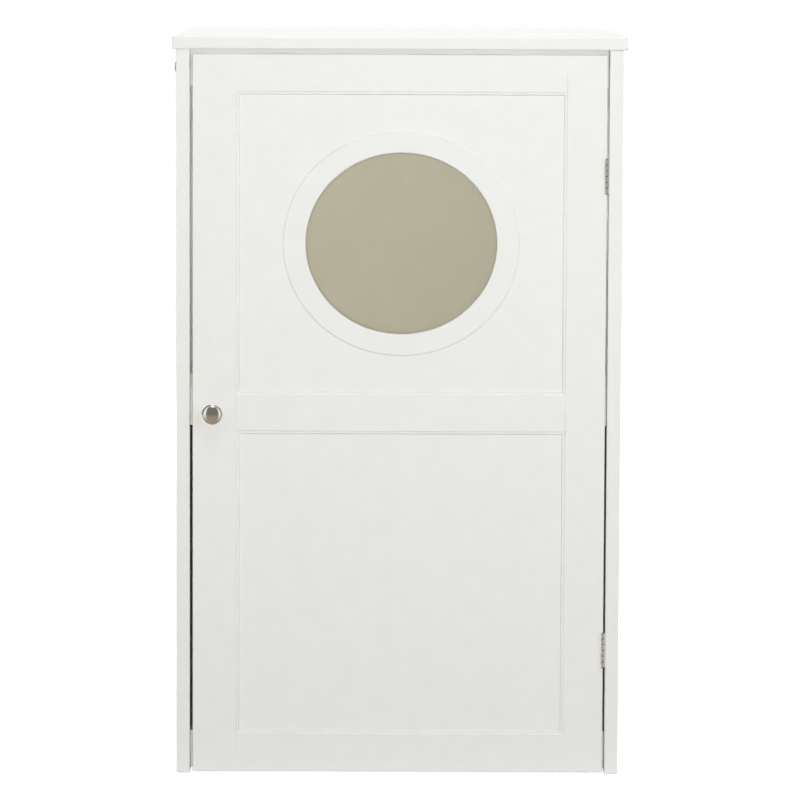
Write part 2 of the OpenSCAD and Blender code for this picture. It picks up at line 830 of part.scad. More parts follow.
// The entrance: a circle across, pressed to its height; children stand along -Y from the panel's face
module at_entrance() {
    translate([entrance_x, panel_y0, entrance_z]) scale([1, 1, entrance_ratio])
        rotate([90, 0, 0]) children();
}

module door_upper_panel() {
    color(paint) difference() {
        panel_block(up_z0, up_z1);
        at_entrance() translate([0, 0, -panel_t - past])
            cylinder(h = panel_t + 2 * past, d = entrance_w, $fn = 128);
    }
}

module door_lower_panel() {
    color(paint) panel_block(low_z0, low_z1);
}

module entrance_trim() {
    color(paint) at_entrance() rotate_extrude($fn = 128) translate([entrance_w / 2, 0]) intersection() {
        square([trim_w, trim_t]);
        union() {
            square([trim_w, trim_t - trim_r]);
            translate([trim_r, 0]) square([trim_w - 2 * trim_r, trim_t]);
            for (x = [trim_r, trim_w - trim_r]) translate([x, trim_t - trim_r]) circle(r = trim_r, $fn = 32);
        }
    }
}

module door_dowels() {
    color(beech) for (p = door_dowel_places())
        translate([p[0] - door_dowel_l / 2, door_dowel_y, p[1]]) rotate([0, 90, 0])
            dowel(door_dowel_l, door_dowel_d);
}

// The knob is turned from one piece: a foot, a neck that flares into the head, and a domed face
module knob() {
    foot_r = knob_foot_d / 2;
    neck_r = knob_neck_d / 2;
    head_r = knob_d / 2;
    foot_t = 1.6;
    rim_r = 1.8;
    dome = 3;
    throat_z = knob_out * 0.38;
    under_z = knob_out - dome - 2 * rim_r;
    rim_z = under_z + rim_r;
    dome_r = head_r - rim_r * 0.4;
    sphere_r = (dome_r * dome_r + dome * dome) / (2 * dome);
    reach = asin(dome_r / sphere_r);
    profile = concat(
        [[0, 0], [foot_r, 0], [foot_r, foot_t]],
        [for (a = [0:15:90]) [foot_r - (foot_r - neck_r) * sin(a), throat_z - (throat_z - foot_t) * cos(a)]],
        [for (a = [15:15:90]) [neck_r + (head_r - rim_r - neck_r) * (1 - cos(a)),
                               throat_z + (under_z - throat_z) * sin(a)]],
        [for (a = [-60:20:40]) [head_r - rim_r + rim_r * cos(a), rim_z + rim_r * sin(a)]],
        [for (i = [8:-1:0]) [sphere_r * sin(reach * i / 8), knob_out - sphere_r * (1 - cos(reach * i / 8))]]
    );
    color(nickel) translate([knob_x, front_y, knob_z]) rotate([90, 0, 0]) difference() {
        rotate_extrude($fn = 64) polygon(profile);
        translate([0, 0, -past]) cylinder(h = knob_screw_reach + past + fit, d = knob_screw_d + 2 * fit);
    }
}

module knob_screw() {
    length = knob_screw_seat - front_y + knob_screw_reach;
    recess_w = 0.9;
    recess_depth = 1.1;
    color(zinc) translate([knob_x, knob_screw_seat, knob_z]) rotate([90, 0, 0]) difference() {
        union() {
            cylinder(h = length, d = knob_screw_d);
            translate([0, 0, -knob_screw_head_t]) cylinder(h = knob_screw_head_t, d = knob_screw_head_d);
        }
        for (a = [0, 90]) rotate([0, 0, a]) translate([0, 0, -knob_screw_head_t])
            cube([knob_screw_d, recess_w, 2 * recess_depth], center = true);
    }
}

module strike_screw_place() {
    translate([catch_x, strike_y + pole_t, catch_z]) aim("-y") children();
}

module strike_plate() {
    color(zinc) difference() {
        box([catch_x - strike_w / 2, strike_y, catch_z - strike_h / 2],
            [catch_x + strike_w / 2, strike_y + pole_t, catch_z + strike_h / 2]);
        strike_screw_place() screw_shape(strike_screw_l, catch_screw_d, fit);
    }
}

module strike_screw() {
    color(zinc) strike_screw_place() wood_screw(strike_screw_l, catch_screw_d);
}

left_side();
right_side();
top_board();
base_panel();
shelf();
back_panel();
top_front_rail();
middle_front_rail();
bottom_front_rail();
top_rear_rail();
case_bolts();
barrel_nuts();
case_dowels();
top_screws();
catch_housing();
catch_magnet();
catch_poles();
catch_screws();
upper_hinge_case_leaf();
upper_hinge_pin();
lower_hinge_case_leaf();
lower_hinge_pin();
hinge_case_screws();
door_left_stile();
door_right_stile();
door_top_rail();
door_middle_rail();
door_bottom_rail();
door_upper_panel();
door_lower_panel();
entrance_trim();
door_dowels();
knob();
knob_screw();
strike_plate();
strike_screw();
upper_hinge_door_leaf();
lower_hinge_door_leaf();
hinge_door_screws();
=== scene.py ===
import math

import bmesh
import bpy
from mathutils import Matrix, Vector


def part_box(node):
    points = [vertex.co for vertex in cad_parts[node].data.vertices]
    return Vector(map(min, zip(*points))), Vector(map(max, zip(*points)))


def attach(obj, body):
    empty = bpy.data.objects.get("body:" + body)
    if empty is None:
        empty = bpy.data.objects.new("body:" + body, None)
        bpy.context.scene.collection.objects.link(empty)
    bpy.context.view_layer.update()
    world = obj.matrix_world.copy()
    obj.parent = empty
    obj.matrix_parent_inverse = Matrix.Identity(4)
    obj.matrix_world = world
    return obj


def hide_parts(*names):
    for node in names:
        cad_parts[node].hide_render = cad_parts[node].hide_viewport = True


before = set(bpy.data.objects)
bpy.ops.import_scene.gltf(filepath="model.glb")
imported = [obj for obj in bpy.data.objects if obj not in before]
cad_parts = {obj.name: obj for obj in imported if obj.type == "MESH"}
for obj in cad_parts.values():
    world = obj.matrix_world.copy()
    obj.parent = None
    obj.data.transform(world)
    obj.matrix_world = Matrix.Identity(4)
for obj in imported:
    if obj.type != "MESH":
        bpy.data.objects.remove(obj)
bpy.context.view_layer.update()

# Camera. It stands well back from the door, a little above the top board, and looks slightly down
# through a long lens, so that only a thin strip of the top board's upper face shows.
MM = 0.001
CAMERA_TO_DOOR = 5500 * MM
CAMERA_RIGHT = -24.7 * MM
CAMERA_HEIGHT = 983.5 * MM
CAMERA_PITCH = math.radians(5.612)
CAMERA_ROLL = math.radians(0.242)
CAMERA_YAW = math.radians(-0.276)
CAMERA_LENS = 212.2
CAMERA_SENSOR = 36
door_face_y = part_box("door_left_stile")[0].y

camera_data = bpy.data.cameras.new("camera")
camera_data.lens = CAMERA_LENS
camera_data.sensor_width = CAMERA_SENSOR
camera = bpy.data.objects.new("camera", camera_data)
bpy.context.scene.collection.objects.link(camera)
camera.matrix_world = (
    Matrix.Translation((CAMERA_RIGHT, door_face_y - CAMERA_TO_DOOR, CAMERA_HEIGHT))
    @ Matrix.Rotation(CAMERA_YAW, 4, "Z")
    @ Matrix.Rotation(math.pi / 2 - CAMERA_PITCH, 4, "X")
    @ Matrix.Rotation(CAMERA_ROLL, 4, "Z")
)
bpy.context.scene.camera = camera
bpy.context.scene.view_settings.view_transform = "Standard"


# Studio. White floor paper under a white surround, with soft lamps on all sides and above. The
# paper is white to the camera and keeps a faint shadow where the house stands.
def from_hex(code):
    """Turns an sRGB hex colour into the linear values that shaders take."""
    parts = [int(code[i:i + 2], 16) / 255 for i in (0, 2, 4)]
    return [c / 12.92 if c <= 0.04045 else ((c + 0.055) / 1.055) ** 2.4 for c in parts] + [1.0]


def add(tree, kind, values=None, links=None, tones=(), **properties):
    """Adds a node with its properties, input values, feeding sockets and, on a ramp, its tones."""
    piece = tree.nodes.new("ShaderNode" + kind)
    for name, value in properties.items():
        setattr(piece, name, value)
    for name, value in (values or {}).items():
        piece.inputs[name].default_value = value
    for name, socket in (links or {}).items():
        tree.links.new(socket, piece.inputs[name])
    for number, (position, code) in enumerate(tones):
        piece.color_ramp.elements[number].position = position
        piece.color_ramp.elements[number].color = from_hex(code)
    return piece


WHITE = (1, 1, 1, 1)
AMBIENT = 0.28
ROOM_TONE = "7A7974"
ROOM_FLOOR_TONE = "A0968A"
RING_Z_WEIGHT = 0.55

world = bpy.data.worlds.new("studio")
bpy.context.scene.world = world
world.use_nodes = True
tree = world.node_tree
tree.nodes.clear()
path = add(tree, "LightPath")
direction = add(tree, "TexCoord")
part = add(tree, "SeparateXYZ", links={"Vector": direction.outputs["Generated"]})
x_square = add(tree, "Math", links={0: part.outputs["X"], 1: part.outputs["X"]},
               operation="MULTIPLY")
z_square = add(tree, "Math", links={0: part.outputs["Z"], 1: part.outputs["Z"]},
               operation="MULTIPLY")
outwards = add(tree, "Math", {1: RING_Z_WEIGHT}, {0: z_square.outputs[0], 2: x_square.outputs[0]},
               operation="MULTIPLY_ADD")
# What metal and gloss mirror: a dark room in front of the door with a brown floor, a ring of bright
# screens at its sides and overhead, and all bright behind the house. Each row is one soft change,
# with the part of a ray's direction that it follows and where it begins and is complete.
changes = {}
for name, follows, begins, complete in (
    ("ring's inner edge", outwards.outputs[0], 0.28, 0.42),
    ("ring's outer edge", part.outputs["Y"], -0.44, -0.58),
    ("ring's foot", part.outputs["Z"], -0.75, 0.1),
    ("behind", part.outputs["Y"], 0.35, 0.6),
    ("floor", part.outputs["Z"], 0.06, -0.4),
):
    change = add(tree, "MapRange", {"From Min": begins, "From Max": complete}, {"Value": follows},
                 interpolation_type="SMOOTHSTEP")
    changes[name] = change.outputs[0]
ring = add(tree, "Math", links={0: changes["ring's inner edge"], 1: changes["ring's outer edge"]},
           operation="MULTIPLY")
screens = add(tree, "Math", links={0: ring.outputs[0], 1: changes["ring's foot"]},
              operation="MULTIPLY")
bright = add(tree, "Math", links={0: screens.outputs[0], 1: changes["behind"]},
             operation="MAXIMUM")
dark = add(tree, "MixRGB", {"Color1": from_hex(ROOM_TONE), "Color2": from_hex(ROOM_FLOOR_TONE)},
           {"Fac": changes["floor"]})
shown = add(tree, "MixRGB", {"Color2": WHITE},
            {"Fac": bright.outputs[0], "Color1": dark.outputs[0]})
glossy = add(tree, "Background", links={"Color": shown.outputs[0]})
ambient = add(tree, "Background", {"Color": WHITE, "Strength": AMBIENT})
seen = add(tree, "Background", {"Color": WHITE, "Strength": 1.0})
mirrored = add(tree, "Math", links={0: path.outputs["Is Glossy Ray"],
                                    1: path.outputs["Is Transmission Ray"]}, operation="MAXIMUM")
shiny = add(tree, "MixShader", links={0: mirrored.outputs[0], 1: ambient.outputs[0],
                                      2: glossy.outputs[0]})
whole = add(tree, "MixShader", links={0: path.outputs["Is Camera Ray"], 1: shiny.outputs[0],
                                      2: seen.outputs[0]})
add(tree, "OutputWorld", links={"Surface": whole.outputs[0]})

PAPER_X = 5.0
PAPER_Y = (-0.31, 6.0)
PAPER_DROP = 0.5 * MM
PAPER_TONE = "B8B8B6"
PAPER_GLOW = 0.9
paper_mesh = bmesh.new()
bmesh.ops.create_grid(paper_mesh, x_segments=1, y_segments=1, size=1)
bmesh.ops.scale(paper_mesh, verts=paper_mesh.verts,
                vec=(PAPER_X, (PAPER_Y[1] - PAPER_Y[0]) / 2, 1))
bmesh.ops.translate(paper_mesh, verts=paper_mesh.verts, vec=(0, sum(PAPER_Y) / 2, -PAPER_DROP))
paper_data = bpy.data.meshes.new("studio_paper")
paper_mesh.to_mesh(paper_data)
paper_mesh.free()
paper = bpy.data.objects.new("studio_paper", paper_data)
bpy.context.scene.collection.objects.link(paper)


def empty_material(name):
    """Starts a material that has no nodes yet."""
    material = bpy.data.materials.new(name)
    material.use_nodes = True
    material.node_tree.nodes.clear()
    return material


paper_finish = empty_material("white studio paper")
tree = paper_finish.node_tree
path = add(tree, "LightPath")
lit = add(tree, "BsdfDiffuse", {"Color": from_hex(PAPER_TONE)})
mirrored = add(tree, "Math", links={0: path.outputs["Is Glossy Ray"],
                                    1: path.outputs["Is Transmission Ray"]}, operation="MAXIMUM")
in_view = add(tree, "Math", links={0: path.outputs["Is Camera Ray"], 1: mirrored.outputs[0]},
              operation="MAXIMUM")
glow_strength = add(tree, "Math", {1: PAPER_GLOW}, {0: in_view.outputs[0]}, operation="MULTIPLY")
glow = add(tree, "Emission", {"Color": WHITE}, {"Strength": glow_strength.outputs[0]})
both = add(tree, "AddShader", links={0: lit.outputs[0], 1: glow.outputs[0]})
# From below the paper is clear, so that the underside of the house can be looked at
facing = add(tree, "NewGeometry")
clear = add(tree, "BsdfTransparent")
sheet = add(tree, "MixShader", links={0: facing.outputs["Backfacing"], 1: both.outputs[0],
                                      2: clear.outputs[0]})
add(tree, "OutputMaterial", links={"Surface": sheet.outputs[0]})
paper_data.materials.append(paper_finish)


def softbox(name, place, aim, size, level, spread=180, in_metal=False):
    """Adds a square lamp. Its level is how bright a white face at its aim, square to it, gets."""
    data = bpy.data.lights.new(name, "AREA")
    data.shape = "SQUARE"
    data.size = size
    data.spread = math.radians(spread)
    towards = Vector(aim) - Vector(place)
    # A lamp with a grid in front of it spreads less, so it needs less power for the same level
    narrowing = 1 - data.spread / 2 / math.tan(data.spread / 2)
    data.energy = level * narrowing * math.pi ** 2 * towards.length_squared
    turn = towards.to_track_quat("-Z", "Y").to_matrix().to_4x4()
    lamp = bpy.data.objects.new(name, data)
    lamp.matrix_world = Matrix.Translation(place) @ turn
    lamp.visible_camera = False
    lamp.visible_glossy = in_metal
    bpy.context.scene.collection.objects.link(lamp)


# Only the two lamps above the house show in metal, where they make the highlight on the knob
ENTRANCE_AIM = (0, -0.27, 0.6)
softbox("lamp at the camera", (-0.025, -5.7, 0.98), (0, -0.27, 1.0), size=0.06, level=0.54,
        spread=90)
softbox("left front lamp", (-1.3, -1.6, 0.95), ENTRANCE_AIM, size=0.6, level=0.05)
softbox("right front lamp", (1.2, -1.7, 0.95), ENTRANCE_AIM, size=0.6, level=0.16)
softbox("upper front lamp", (-0.1, -2.2, 2.8), ENTRANCE_AIM, size=0.9, level=0.12, in_metal=True)
softbox("overhead lamp", (0, 0.2, 2.8), (0, 0, 0.85), size=1.2, level=0.64, in_metal=True)
softbox("left lamp", (-3.6, 1.1, 1.3), (-0.26, 0, 0.5), size=1.6, level=0.6)
softbox("right lamp", (3.6, 1.1, 1.3), (0.26, 0, 0.5), size=1.6, level=0.55)
softbox("rear lamp", (0.6, 4.2, 0.75), (0, 0.3, 0.5), size=1.0, level=0.42)

# Three small lamps inside the upper room light what shows in the gaps beside the door: one all of
# it, and one on each side the inner face of that side's panel, from across the room
GAP_LAMP_X = 0.19
INNER_FACE_X = 0.2445
softbox("lamp under the top board", (-0.11, 0.12, 0.775), (-0.05, -0.28, 0.62), size=0.15,
        level=0.15)
for name, side, level in (("lamp on the left gap", -1, 0.15), ("lamp on the right gap", 1, 0.5)):
    softbox(name, (-side * GAP_LAMP_X, -0.12, 0.7), (side * INNER_FACE_X, -0.25, 0.7), size=0.1,
            level=level, spread=60)


# Side panels and top board. Medium density fibreboard, its edges eased with a cutter, then sprayed
# with a warm white satin lacquer that dries to a faint orange peel.
def per_metre(size_mm):
    """The scale of a texture whose features are this many millimetres wide."""
    return 1000 / size_mm


PAINT_TONE = "F0F0EC"
PAINT_SHADE = "EEEEEA"
PAINT_ROUGHNESS = 0.42
# Real orange peel is 1 to 3 mm wide, and only its coarsest shows at the camera's distance
PEEL_MM = 3.2
PEEL_DEPTH_MM = 0.012
COAT_IOR = 1.5
SHEEN_SWING = 0.04
PATCH_MM = 25
PATCH_EDGES = (0.35, 0.65)


def even_coat(name, tone, shade, roughness, skin_mm, skin_depth_mm):
    """A sprayed, foiled or moulded surface: soft patches of two close tones and a fine skin."""
    material = empty_material(name)
    tree = material.node_tree
    where = add(tree, "TexCoord")
    patches = add(tree, "TexNoise", {"Scale": per_metre(PATCH_MM), "Detail": 2.0},
                  {"Vector": where.outputs["Object"]})
    colour = add(tree, "ValToRGB", links={"Fac": patches.outputs[0]},
                 tones=zip(PATCH_EDGES, (shade, tone)))
    sheen = add(tree, "MapRange",
                {"To Min": roughness - SHEEN_SWING, "To Max": roughness + SHEEN_SWING},
                {"Value": patches.outputs[0]})
    skin = add(tree, "TexNoise", {"Scale": per_metre(skin_mm), "Detail": 1.0},
               {"Vector": where.outputs["Object"]})
    bump = add(tree, "Bump", {"Strength": 1.0, "Distance": skin_depth_mm * MM},
               {"Height": skin.outputs[0]})
    shader = add(tree, "BsdfPrincipled", {"IOR": COAT_IOR},
                 {"Base Color": colour.outputs[0], "Roughness": sheen.outputs[0],
                  "Normal": bump.outputs[0]})
    add(tree, "OutputMaterial", links={"Surface": shader.outputs[0]})
    return material


satin_lacquer = even_coat("satin lacquer on fibreboard", PAINT_TONE, PAINT_SHADE, PAINT_ROUGHNESS,
                          PEEL_MM, PEEL_DEPTH_MM)


def keep_piece(mesh, name, body, finish, replaced):
    """Turns a finished bmesh into a piece that rides on a body and stands for CAD nodes."""
    data = bpy.data.meshes.new(name)
    mesh.to_mesh(data)
    mesh.free()
    data.materials.append(finish)
    piece = bpy.data.objects.new(name, data)
    bpy.context.scene.collection.objects.link(piece)
    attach(piece, body)
    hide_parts(*replaced)


SAME_POINT = 0.001 * MM
SQUARE_ENOUGH = 0.9999
CORNER_TURN = math.radians(35)


def square_to_axes(face):
    """True for a face that is square to one of the three axes, as a board's flat faces are."""
    return max(abs(part) for part in face.normal) > SQUARE_ENOUGH


def is_outer_corner(edge):
    """True for an edge where two faces meet at an outer corner."""
    return edge.is_manifold and edge.is_convex and edge.calc_face_angle() > CORNER_TURN


def eased_copy(node, body, finish, radius_mm, worn=is_outer_corner, flat=square_to_axes,
               steps=2):
    """Copies a CAD node, merges it and rounds the edges that wear or paint softens."""
    mesh = bmesh.new()
    mesh.from_mesh(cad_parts[node].data)
    bmesh.ops.remove_doubles(mesh, verts=mesh.verts, dist=SAME_POINT)
    sharp = [edge for edge in mesh.edges if is_outer_corner(edge) and worn(edge)]
    rounded = bmesh.ops.bevel(mesh, geom=sharp, offset=radius_mm * MM, offset_type="OFFSET",
                              segments=steps, profile=0.5, affect="EDGES", clamp_overlap=False,
                              material=-1)
    for face in mesh.faces:
        face.smooth = not flat(face)
    for face in rounded["faces"]:
        face.smooth = True
    keep_piece(mesh, node + "_eased", body, finish, [node])


BOARD_EASE_MM = 0.3
TOP_EASE_MM = 2.0
TOP_EASE_STEPS = 4
for node in ("left_side", "right_side"):
    eased_copy(node, "cabinet", satin_lacquer, BOARD_EASE_MM)
eased_copy("top_board", "cabinet", satin_lacquer, TOP_EASE_MM,
           steps=TOP_EASE_STEPS)

# Back panel, shelf and base. Fibreboard faced on both sides with melamine foil in cream, which has
# a fine pearl emboss. Its tone is painted a little darker and warmer than the foil's own cream, as
# painted shade of the closed room. The back slides into grooves, and the shelf has the round
# passage.
# Painted shade: these two tones are darker and warmer than the board's own cream, for the shade
# inside the room
FOIL_TONE = "DCD7C2"
FOIL_SHADE = "DAD5BF"
FOIL_ROUGHNESS = 0.5
# A real pearl emboss is about half as wide, too fine to show from the camera
PEARL_MM = 1.6
PEARL_DEPTH_MM = 0.02
cream_foil_painted_shade = even_coat("cream melamine foil with painted shade", FOIL_TONE, FOIL_SHADE, FOIL_ROUGHNESS, PEARL_MM,
                       PEARL_DEPTH_MM)
for node in ("back_panel", "shelf", "base_panel"):
    eased_copy(node, "cabinet", cream_foil_painted_shade, BOARD_EASE_MM)

# Case rails. Four painted bars between the sides: three behind the door, which it closes against,
# and one at the top of the back.
for node in ("top_front_rail", "middle_front_rail", "bottom_front_rail", "top_rear_rail"):
    eased_copy(node, "cabinet", satin_lacquer, BOARD_EASE_MM)


# Furniture bolts, barrel nuts and screws. Steel with bright zinc plating, which shows as a pale
# blue-grey metal with faint crystals a few millimetres wide.
GRAIN_EDGES = (0.3, 0.7)
BRIGHTER_GRAIN = 0.05
DULLER_GRAIN = 0.07


def metal(name, tone, shade, roughness, grain_mm, grain_depth_mm, stretch=(1, 1, 1)):
    """Plated metal: two close tones and a faint grain, which may be stretched along an axis."""
    material = empty_material(name)
    tree = material.node_tree
    where = add(tree, "TexCoord")
    stretched = add(tree, "Mapping", {"Scale": stretch}, {"Vector": where.outputs["Object"]})
    grain = add(tree, "TexNoise", {"Scale": per_metre(grain_mm), "Detail": 3.0},
                {"Vector": stretched.outputs[0]})
    colour = add(tree, "ValToRGB", links={"Fac": grain.outputs[0]},
                 tones=zip(GRAIN_EDGES, (shade, tone)))
    dull = add(tree, "MapRange",
               {"To Min": roughness - BRIGHTER_GRAIN, "To Max": roughness + DULLER_GRAIN},
               {"Value": grain.outputs[0]})
    bump = add(tree, "Bump", {"Strength": 1.0, "Distance": grain_depth_mm * MM},
               {"Height": grain.outputs[0]})
    shader = add(tree, "BsdfPrincipled", {"Metallic": 1.0},
                 {"Base Color": colour.outputs[0], "Roughness": dull.outputs[0],
                  "Normal": bump.outputs[0]})
    add(tree, "OutputMaterial", links={"Surface": shader.outputs[0]})
    return material


def dress(node, finish):
    """Gives its finish to a CAD node that is shown as it is."""
    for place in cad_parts[node].material_slots:
        place.material = finish


bright_zinc = metal("bright zinc on steel", "C9CCD0", "B4B8BD", roughness=0.34, grain_mm=2.5,
                    grain_depth_mm=0.004)
for node in ("case_bolts", "barrel_nuts", "top_screws", "catch_screws", "knob_screw",
             "strike_screw"):
    dress(node, bright_zinc)


# Dowels. Turned beech pegs, glued half into each board. Beech is pale pink-brown with fine straight
# grain along the peg.
BEECH_TONE = "D9B48A"
BEECH_SHADE = "B98F66"
FIBRE_MM = 0.8
FIBRE_DEPTH_MM = 0.02
FIBRE_STRETCH = (0.08, 1, 1)
beech = empty_material("turned beech")
tree = beech.node_tree
where = add(tree, "TexCoord")
along = add(tree, "Mapping", {"Scale": FIBRE_STRETCH}, {"Vector": where.outputs["Object"]})
fibres = add(tree, "TexNoise", {"Scale": per_metre(FIBRE_MM), "Detail": 4.0},
             {"Vector": along.outputs[0]})
colour = add(tree, "ValToRGB", links={"Fac": fibres.outputs[0]},
             tones=zip(GRAIN_EDGES, (BEECH_SHADE, BEECH_TONE)))
bump = add(tree, "Bump", {"Strength": 1.0, "Distance": FIBRE_DEPTH_MM * MM},
           {"Height": fibres.outputs[0]})
shader = add(tree, "BsdfPrincipled", {"Roughness": 0.6},
             {"Base Color": colour.outputs[0], "Normal": bump.outputs[0]})
add(tree, "OutputMaterial", links={"Surface": shader.outputs[0]})
for node in ("case_dowels", "door_dowels"):
    dress(node, beech)

# Magnetic catch. A moulded white plastic housing screwed under the middle rail, with a dark grey
# sintered magnet between two steel plates that pull on the strike plate on the door.
CATCH_EASE_MM = 0.25
PLATE_EASE_MM = 0.15
white_plastic = even_coat("moulded white plastic", "EDEDEA", "EAEAE6", roughness=0.38,
                          skin_mm=1.2, skin_depth_mm=0.006)
eased_copy("catch_housing", "cabinet", white_plastic, CATCH_EASE_MM)
ferrite = even_coat("sintered ferrite", "3A3A3C", "303032", roughness=0.7, skin_mm=0.6,
                    skin_depth_mm=0.02)
eased_copy("catch_magnet", "cabinet", ferrite, CATCH_EASE_MM)
eased_copy("catch_poles", "cabinet", bright_zinc, PLATE_EASE_MM)
eased_copy("strike_plate", "door", bright_zinc, PLATE_EASE_MM)

# Door frame. Two stiles and three rails, dowelled and glued, with a two-step moulding cut round
# each panel. The paint softens the moulding's edges and hides the joints, whose edges stay sharp.
MOULDING_EASE_MM = 0.25
SLOPE_RANGE = (0.3, 0.8)


def slopes(face):
    """True for one of the moulding's sloping faces, by how far its normal looks forwards."""
    return SLOPE_RANGE[0] < -face.normal.y < SLOPE_RANGE[1]


def on_moulding(edge):
    """True for an edge beside one of the moulding's sloping faces."""
    return any(slopes(face) for face in edge.link_faces)


def flat_or_sloping(face):
    """True for the door frame's flat faces and its moulding."""
    return square_to_axes(face) or slopes(face)


for node in ("door_left_stile", "door_right_stile", "door_top_rail", "door_middle_rail",
             "door_bottom_rail"):
    eased_copy(node, "door", satin_lacquer, MOULDING_EASE_MM, worn=on_moulding,
               flat=flat_or_sloping)

# Door panels. Two thin painted boards held in the frame's grooves. The upper one has the entrance
# cut through it, with its rear rim rounded for the animal's comfort.
TRIM_WIDTH = 26.5 * MM
OVAL_STEPS = 192
RIM_EASE_MM = 1.0
RIM_EASE_STEPS = 3
RIM_REACH = 1.5
CLOSE_BY = 0.01 * MM
trim_low, trim_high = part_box("entrance_trim")
entrance_middle = (trim_low + trim_high) / 2
entrance_squeeze = (trim_high.z - trim_low.z) / (trim_high.x - trim_low.x)
entrance_radius = (trim_high.x - trim_low.x) / 2 - TRIM_WIDTH


def placed_oval(mesh):
    """Presses what stands round the Z axis to the entrance's height and sets it upright there."""
    squeeze = Matrix.Diagonal((1, entrance_squeeze, 1, 1))
    upright = Matrix.Rotation(math.pi / 2, 4, "X")
    to_entrance = Matrix.Translation((entrance_middle.x, 0, entrance_middle.z))
    bmesh.ops.transform(mesh, matrix=to_entrance @ upright @ squeeze, verts=mesh.verts)


panel_low, panel_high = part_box("door_upper_panel")
mesh = bmesh.new()
bmesh.ops.create_circle(mesh, cap_ends=False, segments=OVAL_STEPS, radius=entrance_radius)
placed_oval(mesh)
bmesh.ops.translate(mesh, verts=mesh.verts, vec=(0, panel_low.y, 0))
corners = [mesh.verts.new((x, panel_low.y, z)) for x, z in (
    (panel_low.x, panel_low.z), (panel_high.x, panel_low.z),
    (panel_high.x, panel_high.z), (panel_low.x, panel_high.z),
)]
for start, end in zip(corners, corners[1:] + corners[:1]):
    mesh.edges.new((start, end))
bmesh.ops.triangle_fill(mesh, use_beauty=True, use_dissolve=False, edges=mesh.edges,
                        normal=(0, -1, 0))
front_faces = mesh.faces[:]
back = bmesh.ops.extrude_face_region(mesh, geom=front_faces, use_keep_orig=True)
bmesh.ops.translate(mesh, verts=[v for v in back["geom"] if isinstance(v, bmesh.types.BMVert)],
                    vec=(0, panel_high.y - panel_low.y, 0))
bmesh.ops.recalc_face_normals(mesh, faces=mesh.faces)
rear_rim = [
    edge for edge in mesh.edges
    if all(abs(v.co.y - panel_high.y) < CLOSE_BY for v in edge.verts)
    and edge.calc_face_angle() > CORNER_TURN
    and all((v.co - entrance_middle).length < entrance_radius * RIM_REACH for v in edge.verts)
]
bmesh.ops.bevel(mesh, geom=rear_rim, offset=RIM_EASE_MM * MM, offset_type="OFFSET",
                segments=RIM_EASE_STEPS, profile=0.5, affect="EDGES", clamp_overlap=True,
                material=-1)
for face in mesh.faces:
    face.smooth = not square_to_axes(face)
keep_piece(mesh, "upper_panel", "door", satin_lacquer, ["door_upper_panel"])
dress("door_lower_panel", satin_lacquer)

# Entrance trim. A flat painted ring with both of its edges rounded, glued round the entrance. It is
# turned as a circle and pressed to the entrance's slightly lower height.
TRIM_EDGE = 1.6 * MM
TRIM_EDGE_STEPS = 6
trim_height = trim_high.y - trim_low.y


def arc(start, end, steps):
    """Angles in radians from start to end degrees."""
    return [math.radians(start + (end - start) * i / steps) for i in range(steps + 1)]


def spun(outline, steps, closed=False):
    """Spins an outline of radii and heights round the Z axis, as a lathe turns a piece."""
    mesh = bmesh.new()
    line = [mesh.verts.new((radius, 0, height)) for radius, height in outline]
    for start, end in zip(line, line[1:]):
        mesh.edges.new((start, end))
    if closed:
        mesh.edges.new((line[-1], line[0]))
    bmesh.ops.spin(mesh, geom=mesh.verts[:] + mesh.edges[:], cent=(0, 0, 0), axis=(0, 0, 1),
                   dvec=(0, 0, 0), angle=2 * math.pi, steps=steps, use_merge=True,
                   use_duplicate=False)
    return mesh


outline = [(entrance_radius, 0), (entrance_radius + TRIM_WIDTH, 0)]
for middle, turn in ((entrance_radius + TRIM_WIDTH - TRIM_EDGE, 0),
                     (entrance_radius + TRIM_EDGE, 90)):
    outline += [(middle + TRIM_EDGE * math.cos(a),
                 trim_height - TRIM_EDGE + TRIM_EDGE * math.sin(a))
                for a in arc(turn, turn + 90, TRIM_EDGE_STEPS)]
mesh = spun(outline, OVAL_STEPS, closed=True)
placed_oval(mesh)
bmesh.ops.translate(mesh, verts=mesh.verts, vec=(0, trim_high.y, 0))
bmesh.ops.recalc_face_normals(mesh, faces=mesh.faces)
for face in mesh.faces:
    face.smooth = not square_to_axes(face)
keep_piece(mesh, "trim_ring", "door", satin_lacquer, ["entrance_trim"])

# Knob. One piece of cast zinc, turned and satin nickel plated, which mirrors the room softly: a
# small foot, a neck that flares into the head, a rolled rim and a domed face. A screw from inside
# the door holds it. Sizes are in millimetres, and the throat is a share of the knob's reach.
KNOB_FOOT_R = 6.5
KNOB_FOOT_T = 1.6
KNOB_FOOT_EASE = 0.3
KNOB_FOOT_LIP = 0.4
KNOB_NECK_R = 4.25
KNOB_THROAT = 0.38
KNOB_RIM_R = 1.8
KNOB_RIM_ARC = (-70, 45)
KNOB_DOME = 3.0
KNOB_DOME_INSET = 0.4
KNOB_DOME_SHARE = 0.93
KNOB_ARC_STEPS = 10
KNOB_STEPS = 96
knob_low, knob_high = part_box("knob")
knob_middle = (knob_low + knob_high) / 2
knob_out = (knob_high.y - knob_low.y) / MM
head_r = (knob_high.x - knob_low.x) / 2 / MM
foot_r = KNOB_FOOT_R - KNOB_FOOT_EASE
throat = knob_out * KNOB_THROAT
under = knob_out - KNOB_DOME - 2 * KNOB_RIM_R
dome_r = head_r - KNOB_RIM_R * KNOB_DOME_INSET
ball_r = (dome_r ** 2 + KNOB_DOME ** 2) / (2 * KNOB_DOME)
dome_reach = math.degrees(math.asin(dome_r / ball_r))

